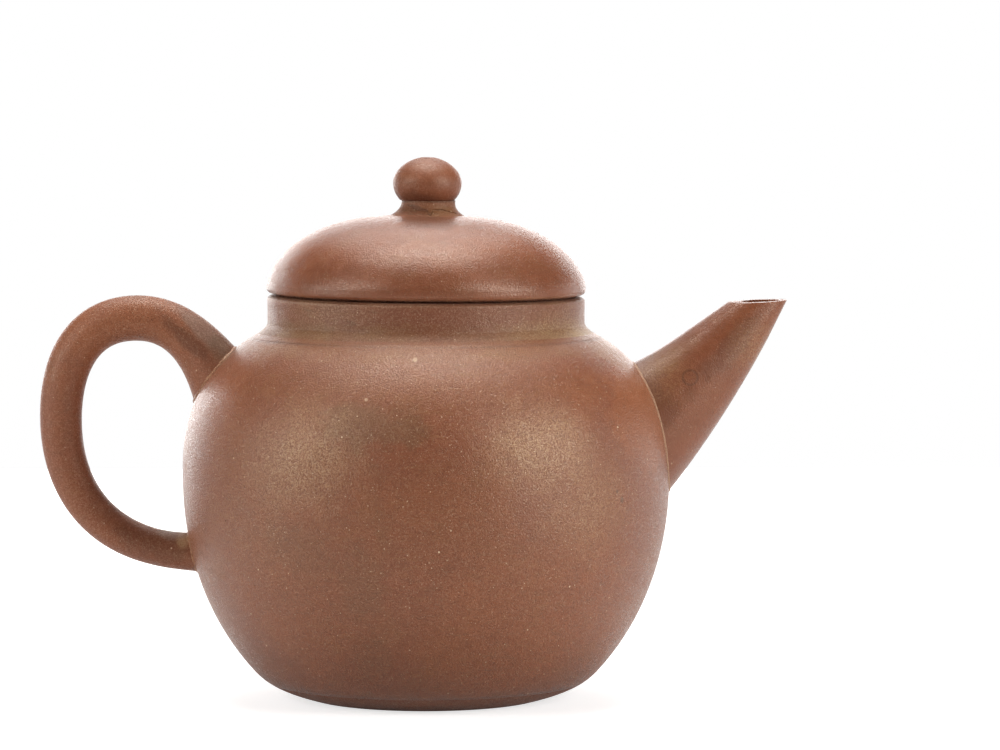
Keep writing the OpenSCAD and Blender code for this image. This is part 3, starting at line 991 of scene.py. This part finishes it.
class SpoutShape:
    """The spout's outside, measured along its axis from where it meets the wall."""

    # In root radii: how far inside the wall it starts, and where the flare is full
    START = -1.25
    FLARE_FULL = 0.15
    # How far the flare grows on inside the wall, against its full size
    FLARE_MOST = 1.4
    # Below 1, the swell comes on sooner and stays longer
    SWELL_EASE = 0.65
    # How far beyond the mouth's middle the lip lies, as a share of the level cut
    LIP = 0.72
    # How fast the underside draws in past the lip
    LIP_DRAW = 0.07

    def __init__(self, scene):
        pot, self.spout = scene.teapot_pot, scene.teapot_spout
        spout, z = self.spout, pot.belly_z + self.spout.rise
        self.root = Vector((PotCurve(pot).radius(z), 0, z))
        self.lie = (0, pi / 2 - spout.angle, 0)
        self.along = Vector((cos(spout.angle), 0, sin(spout.angle)))
        self.up = Vector((-sin(spout.angle), 0, cos(spout.angle)))
        self.length = (spout.mouth_z - self.root.z) / sin(spout.angle)
        self.draw = (spout.tip_r - spout.root_r) / self.length
        self.start = self.START * spout.root_r
        self.lip = self.length + spout.tip_r / tan(spout.angle) * self.LIP

    def cone(self, s):
        """Radius of the plain cone."""
        return self.spout.root_r + self.draw * s

    def upper(self, s):
        """How much further the upper half reaches than the plain cone, as a factor."""
        past = (s - self.FLARE_FULL * self.spout.root_r) / self.spout.flare_len
        near = max(0.0, min(self.FLARE_MOST, 1 - past))
        return 1 + self.spout.flare * near**2 / self.cone(s)

    def lower(self, s):
        """The same for the lower half, which draws in beyond the lip."""
        share = min(1.0, max(0.0, (s - self.start) / (self.lip - self.start)))
        swell = self.spout.swell * abs(sin(pi * share)) ** self.SWELL_EASE
        return 1 + (swell - self.LIP_DRAW * max(0.0, s - self.lip)) / self.cone(s)

    def point(self, a, s):
        """Point at an angle a from the upper side, s along the axis."""
        c = cos(a) * (self.upper(s) if cos(a) > 0 else self.lower(s))
        out = self.up * c + Vector((0, 1, 0)) * sin(a)
        return self.root + self.along * s + out * self.cone(s)


# How often a stretch is halved to find where a skin comes out of the wall
HALVINGS = 36


def luted_line(curve, point, first, last, sunk, count=120):
    """The closed line where a piece comes out of the wall, sunk a little inwards.

    The piece's skin is point(a, t), where t runs from first, inside the wall, to last.
    """
    line = []
    for i in range(count):
        a = 2 * pi * i / count
        low, high = first, last
        for _ in range(HALVINGS):
            middle = (low + high) / 2
            p = point(a, middle)
            if hypot(p.x, p.y) < curve.radius(p.z):
                low = middle
            else:
                high = middle
        p = point(a, (low + high) / 2)
        own = (p - point(a + pi, (low + high) / 2)).normalized()
        near = 0.1 * MM
        slope = (curve.radius(p.z + near) - curve.radius(p.z - near)) / (2 * near)
        wall = Vector((p.x, p.y, -slope * hypot(p.x, p.y))).normalized()
        line.append(p - (own + wall).normalized() * sunk)
    return line


class TEAPOT_OT_spout(bpy.types.Operator):
    """The drawn, bored spout, cut level at its mouth and luted to the wall."""

    bl_idname = "teapot.spout"
    bl_label = "Spout"

    def execute(self, context):
        scene = context.scene
        spout, shape = scene.teapot_spout, SpoutShape(scene)
        short = shape.length - spout.tip_r / tan(spout.angle) * 1.25
        rings = [*steps(shape.start, short, 48), shape.length + 2.2 * spout.tip_r]
        piece = take_up(
            "spout_clay",
            bpy.ops.mesh.primitive_circle_add,
            vertices=128,
            radius=shape.cone(rings[0]),
            location=(0, 0, rings[0]),
        )
        before = rings[0]
        for s in rings[1:]:
            draw_out((0, 0, s - before))
            k = shape.cone(s) / shape.cone(before)
            bpy.ops.transform.resize(value=(k, k, 1), center_override=(0, 0, s))
            before = s
        for s in rings:
            for side, k in ((-1, shape.upper(s)), (1, shape.lower(s))):
                choose(lambda p: abs(p.z - s) < 0.01 * MM and p.x * side > 0.001 * MM)
                bpy.ops.transform.resize(value=(k, 1, 1), center_override=(0, 0, s))
        close_up()
        piece.rotation_euler, piece.location = shape.lie, shape.root
        bpy.ops.object.transform_apply(location=True, rotation=True, scale=True)
        bpy.ops.object.mode_set(mode="EDIT")
        bpy.ops.mesh.select_all(action="SELECT")
        # The mouth is cut a little higher on the far side
        mouth = shape.root + shape.along * (shape.length + 0.08 * MM)
        level = (-sin(spout.mouth_tilt), -0.037, cos(spout.mouth_tilt))
        bpy.ops.mesh.bisect(
            plane_co=mouth, plane_no=level, use_fill=True, clear_outer=True
        )
        bpy.ops.object.mode_set(mode="OBJECT")
        # The bore runs out past both ends
        bore_draw = (spout.bore_tip_r - spout.bore_root_r) / shape.length
        low, high = -9 * MM, shape.length + 6 * MM
        bore = take_plain(
            "spout_bore",
            bpy.ops.mesh.primitive_cone_add,
            vertices=96,
            radius1=spout.bore_root_r + bore_draw * low,
            radius2=spout.bore_root_r + bore_draw * high,
            depth=high - low,
            location=shape.root + shape.along * (low + high) / 2,
            rotation=shape.lie,
        )
        carve(piece, bore)
        soften(piece, 0.22 * MM, angle=35, segments=4)
        carve(piece, pot_blank(scene))
        clay, slip = named_clay(scene, "spout clay"), named_clay(scene, "pale slip")
        finish_piece(piece, "pot", "spout_clay", clay, "spout")
        curve = PotCurve(scene.teapot_pot)
        joint = luted_line(curve, shape.point, -10 * MM, 8 * MM, 0.20 * MM)
        lay_slip("spout_slip", joint, 0.37 * MM, "spout_clay", slip)
        return {"FINISHED"}


class HandleShape:
    """The handle's middle line from its upper to its lower root, and its radius."""

    # How soon the upper end's spread is over, and where the lower end's begins
    TOP_EASE = 2.5
    LOW_EASE = 0.82

    def __init__(self, scene):
        pot, handle = scene.teapot_pot, scene.teapot_handle
        wall = PotCurve(pot)

        def on_wall(z):
            return Vector((-wall.radius(z), 0, z))

        def beyond_belly(out, rise):
            return Vector((-(pot.belly_r + out), 0, pot.belly_z + rise))

        def heading(angle):
            return Vector((cos(angle), 0, sin(angle)))

        def spread(t):
            """Radius from the upper root to the crown."""
            more = (handle.top_r - handle.crown_r) * (1 - t) ** self.TOP_EASE
            return handle.crown_r + more

        def taper(t):
            """Radius from the crown to the back."""
            return handle.crown_r + (handle.back_r - handle.crown_r) * t

        def run_in(t):
            """Radius from the back to the lower root, where the coil spreads again."""
            near = max(0.0, t - self.LOW_EASE) / (1 - self.LOW_EASE)
            more = (handle.low_end_r - handle.low_r) / 2 * near**2
            return handle.back_r + (handle.low_r - handle.back_r) * t + more

        x, z = Vector((1, 0, 0)), Vector((0, 0, 1))
        top_way, low_way = heading(handle.top_way), heading(handle.low_way)
        crown = beyond_belly(handle.crown_out, handle.crown_rise)
        back = beyond_belly(handle.back_out, handle.back_rise)
        top = on_wall(pot.belly_z + handle.top_rise) - top_way * handle.top_sink
        low_wall = on_wall(pot.belly_z - handle.low_drop)
        low = low_wall - low_way * handle.low_lead
        top_on, crown_in = top + top_way * handle.top_pull, crown + x * handle.crown_in
        crown_on, back_up = crown - x * handle.crown_on, back + z * handle.back_up
        back_down, low_on = back - z * handle.back_down, low - low_way * handle.low_pull
        spans = (
            (top, top_on, crown_in, crown, 26, spread),
            (crown, crown_on, back_up, back, 26, taper),
            (back, back_down, low_on, low, 36, run_in),
        )
        self.rings = []
        for p, q, r, s, count, radius in spans:
            for t in steps(0, 1, count)[1 if self.rings else 0 :]:
                u = 1 - t
                at = u**3 * p + 3 * u * u * t * q + 3 * u * t * t * r + t**3 * s
                way = u * u * (q - p) + 2 * u * t * (r - q) + t * t * (s - r)
                self.rings.append((at, way.normalized(), radius(t)))
        end = low_wall + low_way * handle.low_sink
        self.rings.append((end, low_way, handle.low_end_r))

    def point(self, a, place):
        """Point of the skin at an angle round the ring, place counted in rings."""
        i = min(int(place), len(self.rings) - 2)
        t = place - i
        (p, d, r), (q, e, s) = self.rings[i], self.rings[i + 1]
        at, way, reach = p.lerp(q, t), d.lerp(e, t).normalized(), r + (s - r) * t
        side = Vector((-way.z, 0, way.x))
        return at + (side * cos(a) + Vector((0, 1, 0)) * sin(a)) * reach


class TEAPOT_OT_handle(bpy.types.Operator):
    """The handle: one rolled coil bent to an ear, luted to the wall at both ends."""

    bl_idname = "teapot.handle"
    bl_label = "Handle"

    def execute(self, context):
        scene = context.scene
        shape = HandleShape(scene)
        at, way, reach = shape.rings[0]
        coil = take_up(
            "handle_clay",
            bpy.ops.mesh.primitive_circle_add,
            vertices=72,
            radius=reach,
            location=at,
            rotation=(0, atan2(way.x, way.z), 0),
        )
        for to, heading, radius in shape.rings[1:]:
            draw_out(to - at)
            bend = atan2(heading.x, heading.z) - atan2(way.x, way.z)
            bend = (bend + pi) % (2 * pi) - pi
            bpy.ops.transform.rotate(value=-bend, orient_axis="Y", center_override=to)
            k = radius / reach
            bpy.ops.transform.resize(value=(k, k, k), center_override=to)
            at, way, reach = to, heading, radius
        close_up()
        carve(coil, pot_blank(scene))
        clay, slip = named_clay(scene, "handle clay"), named_clay(scene, "brown slip")
        finish_piece(coil, "pot", "handle_clay", clay, "handle")
        # Along the handle, places are counted in rings
        curve, last = PotCurve(scene.teapot_pot), len(shape.rings) - 1
        upper = luted_line(curve, shape.point, 0, 24, 0.40 * MM)
        lower = luted_line(curve, shape.point, last, last - 9, 0.32 * MM, 90)
        lay_slip("handle_upper_slip", upper, 0.62 * MM, "handle_clay", slip)
        lay_slip("handle_lower_slip", lower, 0.50 * MM, "handle_clay", slip)
        return {"FINISHED"}


class TEAPOT_OT_lid(bpy.types.Operator):
    """The lid: a beaten dome over a plate, with the flange that reaches inside."""

    bl_idname = "teapot.lid"
    bl_label = "Lid"

    def execute(self, context):
        scene = context.scene
        pot, lid, looks = scene.teapot_pot, scene.teapot_lid, scene.teapot_looks

        def dome(inset, count):
            """Half outline of the dome, up to the vent."""
            line = []
            for a in steps(0, pi / 2, count):
                r = (lid.lid_r - inset) * max(0.0, cos(a)) ** (2 / lid.dome_top_n)
                h = (lid.dome_h - inset) * sin(a) ** (2 / lid.dome_side_n)
                line.append((max(r, lid.vent_r), lid.girth_z + h))
            return line

        clay = named_clay(scene, "lid clay")
        outline = [*dome(0, 60), *reversed(dome(lid.dome_t, 36))]
        piece = tip(turn("lid_dome_clay", outline, looks.sides), lid.slant, pot.rim_z)
        finish_piece(piece, "lid", "lid_clay", clay, "lid_dome")
        edge_z = pot.rim_z + lid.seam_gap
        turn_in = lid.plate_round
        rounded = [
            (lid.lid_r - turn_in * (1 - cos(a)), edge_z + turn_in * (1 + sin(a)))
            for a in steps(-pi / 2, 0, 10)
        ]
        outline = [
            (lid.flange_in_r, pot.rim_z),
            (lid.seat_r, pot.rim_z),
            *rounded,
            (lid.lid_r, lid.girth_z),
            (lid.flange_in_r, lid.girth_z),
        ]
        plate = tip(turn("lid_plate_clay", outline, looks.sides), lid.slant, pot.rim_z)
        finish_piece(plate, "lid", "lid_clay", clay, "lid_plate")
        low_z, taper = pot.rim_z - lid.flange_h, 0.3 * MM
        outline = [
            (lid.flange_in_r, pot.rim_z),
            (lid.flange_in_r, low_z),
            (lid.flange_r - taper, low_z),
            (lid.flange_r, pot.rim_z),
        ]
        flange = turn("lid_flange_clay", outline, looks.sides)
        soften(flange, 0.5 * MM, angle=60, segments=5)
        tip(flange, lid.slant, pot.rim_z)
        inner = named_clay(scene, "inner clay")
        finish_piece(flange, "lid", "inner_clay", inner, "lid_flange")
        return {"FINISHED"}


# The fold pressed into the collar's front, across and up, in millimetres
CREASE = (
    (-2.1, 75.05),
    (-1.0, 74.7),
    (-0.1, 74.8),
    (0.45, 74.0),
    (0.65, 73.9),
    (0.9, 74.7),
    (2.3, 74.65),
    (3.6, 74.35),
    (4.5, 74.1),
)
COLLAR_SIDES, BEAD_SIDES = 96, 128


class TEAPOT_OT_knob(bpy.types.Operator):
    """The knob: a rolled bead on its pinched collar, pierced for the vent."""

    bl_idname = "teapot.knob"
    bl_label = "Knob"

    def execute(self, context):
        scene = context.scene
        rim_z, lid = scene.teapot_pot.rim_z, scene.teapot_lid
        dome_top = lid.girth_z + lid.dome_h
        bead_z = dome_top + lid.collar_h
        side = bend3(
            (lid.collar_foot_r + 0.9 * MM, dome_top - 0.55 * MM),
            (lid.collar_r - 0.2 * MM, dome_top + lid.collar_h / 4),
            (lid.collar_r, bead_z),
            24,
        )
        # The collar reaches down into the dome's top, so its foot runs out cleanly
        root_z = dome_top - 1.2 * MM
        outline = [
            (lid.vent_r, root_z),
            (side[0][0] - 0.3 * MM, root_z),
            *side,
            (lid.vent_r, bead_z),
        ]
        collar = turn("knob_collar_clay", outline, COLLAR_SIDES)
        lean(collar, lid.vent_r, dome_top, 0.10 * MM, 0.09)
        line = []
        for x, z in map(in_metres, CREASE):
            near = min(side, key=lambda q: abs(q[1] - z))[0]
            y = -((near**2 - min(x**2, near**2 * 0.98)) ** 0.5)
            line.append((x, y, z))
        carve(collar, lay_coil("crease_tool", line, 0.17 * MM, closed=False))
        tip(collar, lid.slant, rim_z)
        clay = named_clay(scene, "collar clay")
        finish_piece(collar, "lid", "knob_clay", clay, "knob_collar", smooth=50)
        lower = lid.bead_wide_h / full(lid.collar_r / lid.bead_r, 2), 2
        upper = lid.bead_h - lid.bead_wide_h, lid.bead_n
        wide_z = bead_z + lid.bead_wide_h
        line = []
        for a in steps(-pi / 2, pi / 2, 72):
            r, h = oval_point(a, lid.bead_r, *(upper if a > 0 else lower))
            if wide_z + h > bead_z + 0.02 * MM and r > lid.vent_r + 0.12 * MM:
                line.append((r, wide_z + h))
        # The vent's outer end is rounded over
        top_z = line[-1][1]
        outline = [
            (lid.vent_r, bead_z),
            (lid.collar_r - 0.1 * MM, bead_z),
            *line,
            (lid.vent_r + 0.04 * MM, top_z - 0.02 * MM),
            (lid.vent_r, top_z - 0.2 * MM),
        ]
        bead = turn("knob_clay", outline, BEAD_SIDES)
        lean(bead, lid.vent_r, bead_z, 0.08 * MM, 0)
        tip(bead, lid.slant, rim_z)
        clay = named_clay(scene, "knob clay")
        finish_piece(bead, "lid", "knob_clay", clay, "knob", smooth=60)
        return {"FINISHED"}


class TEAPOT_OT_strainer(bpy.types.Operator):
    """The pierced dome inside the wall keeps its CAD shape and takes the inner clay."""

    bl_idname = "teapot.strainer"
    bl_label = "Strainer"

    def execute(self, context):
        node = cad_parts["strainer"]
        node.data.materials.clear()
        node.data.materials.append(named_clay(context.scene, "inner clay"))
        return {"FINISHED"}


# ---------------------------------------------------------------- the stage

# The camera stands before the pot and looks at a point near its middle
LENS = 168.0
CAMERA_AT = Vector((0, -0.7127, 0.0970))
CAMERA_AIM = Vector((0.01131, 0, 0.04931))
# What the lamps point at, and how far off they stand unless the list says so
LAMP_AIM = Vector((0, 0, 0.04))
LAMP_FAR = 0.8
# Each soft lamp: azimuth from the front towards the spout and elevation, both in
# degrees, width and height, brightness, and perhaps its own distance
LAMPS = {
    "overhead light": (0, 95, (0.60, 0.26), 12.2),
    "rear overhead light": (0, 130, (0.60, 0.26), 4.3),
    "left light": (-55, 28, (0.32, 0.28), 7.8),
    "low left light": (-75, 8, (0.32, 0.28), 5.9),
    "right light": (50, 28, (0.32, 0.28), 8.6),
    "low right light": (65, 8, (0.32, 0.28), 10.0),
    "rear left light": (-142, 6, (0.46, 0.36), 2.7),
    "rear right light": (132, 2, (0.38, 0.30), 2.0),
    "back light": (180, 9, (1.0, 0.42), 3.3, 0.9),
}
WHITE = (1, 1, 1, 1)
# How strongly the studio's air lights the object, and the floor glows to the camera
AIR = 0.03
FLOOR_GLOW = 0.69
# The floor's width, and how much of its glow a reflection gets
FLOOR = 0.8
MIRRORED = 0.25


def face(thing, at, aim):
    """Stands a lamp or the camera at a place, turned towards another."""
    thing.location = at
    thing.rotation_euler = (aim - at).to_track_quat("-Z", "Y").to_euler()


def set_camera(scene):
    camera = bpy.data.objects.new("camera", bpy.data.cameras.new("camera"))
    scene.collection.objects.link(camera)
    camera.data.lens = LENS
    camera.data.clip_start, camera.data.clip_end = 0.02, 20
    face(camera, CAMERA_AT, CAMERA_AIM)
    scene.camera = camera


def hang_lamp(scene, name, azimuth, elevation, size, radiance, distance=LAMP_FAR):
    """A soft lamp of a given brightness, which the camera doesn't see."""
    a, e = radians(azimuth), radians(elevation)
    away = Vector((sin(a) * cos(e), -cos(a) * cos(e), sin(e)))
    light = bpy.data.lights.new(name, "AREA")
    light.shape = "RECTANGLE"
    light.size, light.size_y = size
    light.energy = radiance * pi * size[0] * size[1]
    lamp = bpy.data.objects.new(name, light)
    scene.collection.objects.link(lamp)
    face(lamp, LAMP_AIM + away * distance, LAMP_AIM)
    lamp.visible_camera = False


def fill_studio(scene):
    """Air that looks white to the camera and lights the object only faintly."""
    scene.world = bpy.data.worlds.new("studio")
    studio = Nodes(scene.world)
    air = studio.tree.nodes["Background"]
    studio.put(air.inputs["Color"], WHITE)
    studio.put(air.inputs["Strength"], AIR)
    white = studio.node("Background", {"Color": WHITE})
    seen = studio.node("LightPath").outputs["Is Camera Ray"]
    mix = studio.node("MixShader", {0: seen, 1: air.outputs[0], 2: white.outputs[0]})
    studio.put(studio.tree.nodes["World Output"].inputs["Surface"], mix.outputs[0])


def lay_floor(scene):
    """The pale paper that the pot stands on, which keeps the pot's shadow."""
    floor = take_plain(
        "floor", bpy.ops.mesh.primitive_plane_add, size=FLOOR, location=(0, 0, 0)
    )
    material = bpy.data.materials.new("floor paper")
    paper = Nodes(material)
    cover = paper.tree.nodes["Principled BSDF"]
    paper.put(cover.inputs["Base Color"], (*scene.teapot_looks.ground, 1))
    paper.put(cover.inputs["Roughness"], 0.9)
    paper.put(cover.inputs["Specular IOR Level"], 0.1)
    seen = paper.node("LightPath").outputs
    share = paper.calc(
        "MULTIPLY_ADD", seen["Is Glossy Ray"], MIRRORED, seen["Is Camera Ray"]
    )
    glow = paper.node("Emission", {"Strength": paper.times(share, FLOOR_GLOW)})
    both = paper.node("AddShader", {0: cover.outputs[0], 1: glow.outputs[0]})
    paper.put(paper.tree.nodes["Material Output"].inputs["Surface"], both.outputs[0])
    floor.data.materials.append(material)


class TEAPOT_OT_stage(bpy.types.Operator):
    """The camera, the pale floor and the soft light."""

    bl_idname = "teapot.stage"
    bl_label = "Stage"

    def execute(self, context):
        scene = context.scene
        scene.view_settings.view_transform = "Standard"
        set_camera(scene)
        for name, settings in LAMPS.items():
            hang_lamp(scene, name, *settings)
        fill_studio(scene)
        lay_floor(scene)
        return {"FINISHED"}


class TEAPOT_PT_panel(bpy.types.Panel):
    """Lists the teapot's pieces and sizes."""

    bl_idname = "TEAPOT_PT_panel"
    bl_label = "Clay teapot"
    bl_space_type = "VIEW_3D"
    bl_region_type = "UI"
    bl_category = "Teapot"

    def draw(self, context):
        for piece in PIECES:
            self.layout.operator(piece.bl_idname)
        for key, group in GROUPS.items():
            box = self.layout.box()
            box.label(text=group.__name__)
            for size in group.__annotations__:
                box.prop(getattr(context.scene, key), size)


PIECES = (
    TEAPOT_OT_stage,
    TEAPOT_OT_body,
    TEAPOT_OT_base,
    TEAPOT_OT_shoulder,
    TEAPOT_OT_neck,
    TEAPOT_OT_spout,
    TEAPOT_OT_strainer,
    TEAPOT_OT_handle,
    TEAPOT_OT_lid,
    TEAPOT_OT_knob,
)


def register():
    for group in (*GROUPS.values(), *PIECES, TEAPOT_PT_panel):
        bpy.utils.register_class(group)
    for key, group in GROUPS.items():
        setattr(bpy.types.Scene, key, PointerProperty(type=group))


def unregister():
    for key in GROUPS:
        delattr(bpy.types.Scene, key)
    for group in reversed((*GROUPS.values(), *PIECES, TEAPOT_PT_panel)):
        bpy.utils.unregister_class(group)


def main():
    """Makes the pieces."""
    register()
    for piece in PIECES:
        group, name = piece.bl_idname.split(".")
        getattr(getattr(bpy.ops, group), name)()


if __name__ == "__main__":
    main()
